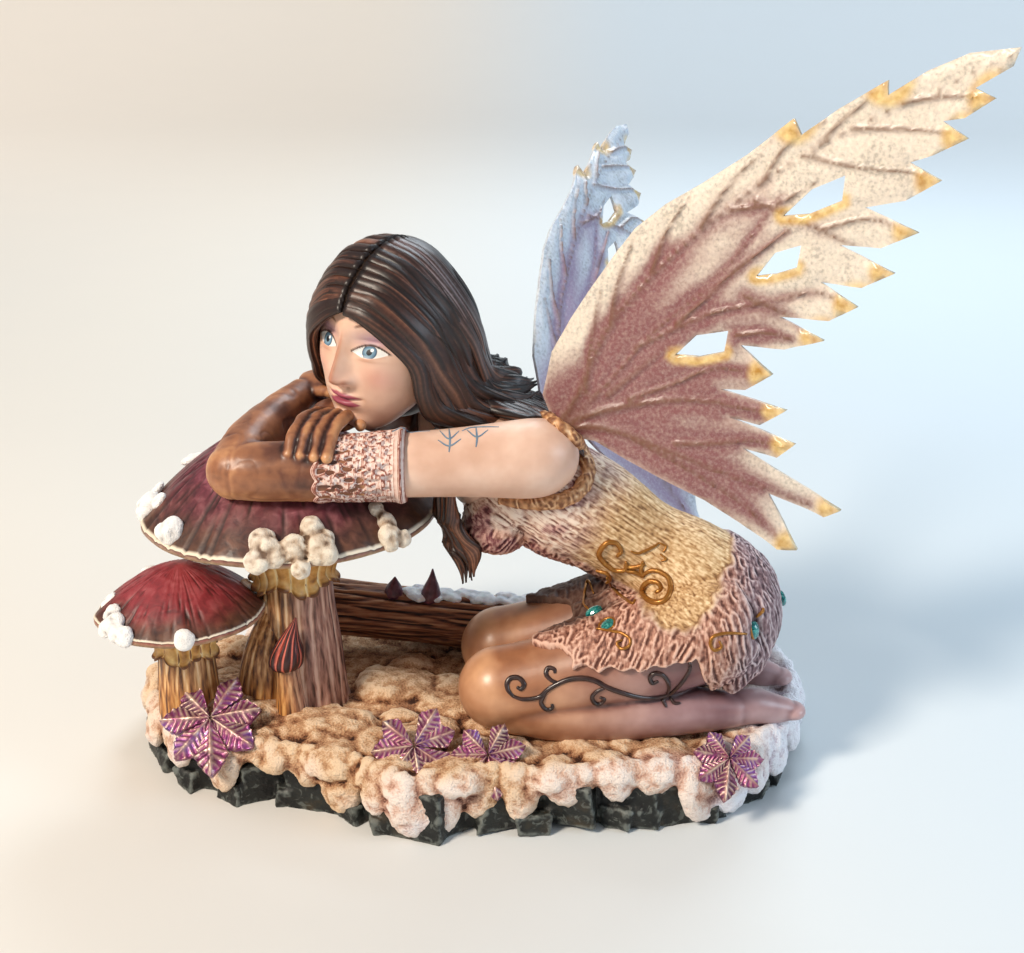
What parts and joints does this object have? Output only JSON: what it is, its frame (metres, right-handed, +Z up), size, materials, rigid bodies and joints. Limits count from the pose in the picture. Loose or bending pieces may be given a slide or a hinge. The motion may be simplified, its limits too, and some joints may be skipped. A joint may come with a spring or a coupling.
{
  "type": "fairy figurine",
  "caption": "Painted cast figurine of a kneeling winged fairy leaning on a toadstool, on an oval base of rocks and moss with a log, leaves and set stones.",
  "frame": {"origin": "middle of the base's flat underside", "axes": "+Z up, the fairy faces -X and her left side is towards -Y"},
  "size_m": [0.2176, 0.1605, 0.194],
  "materials": {
    "base_paint": "cast resin, hand painted: tan moss, near-black rocks, plum caps, brown log",
    "fairy_paint": "cast resin, hand painted: pale skin, dark brown hair, brown gloves and stockings, cream and mauve fur dress",
    "wing_resin": "thin cast resin, pearl cream with mauve veins and golden clear tips",
    "stone_teal": "polished domed teal stone"
  },
  "bodies": {
    "root": {"base_casting": "base_paint", "fairy_casting": "fairy_paint", "left_wing": "wing_resin", "right_wing": "wing_resin", "hip_gem": "stone_teal", "thigh_gem_upper": "stone_teal", "thigh_gem_lower": "stone_teal", "tail_gem": "stone_teal"}
  },
  "joints": []
}
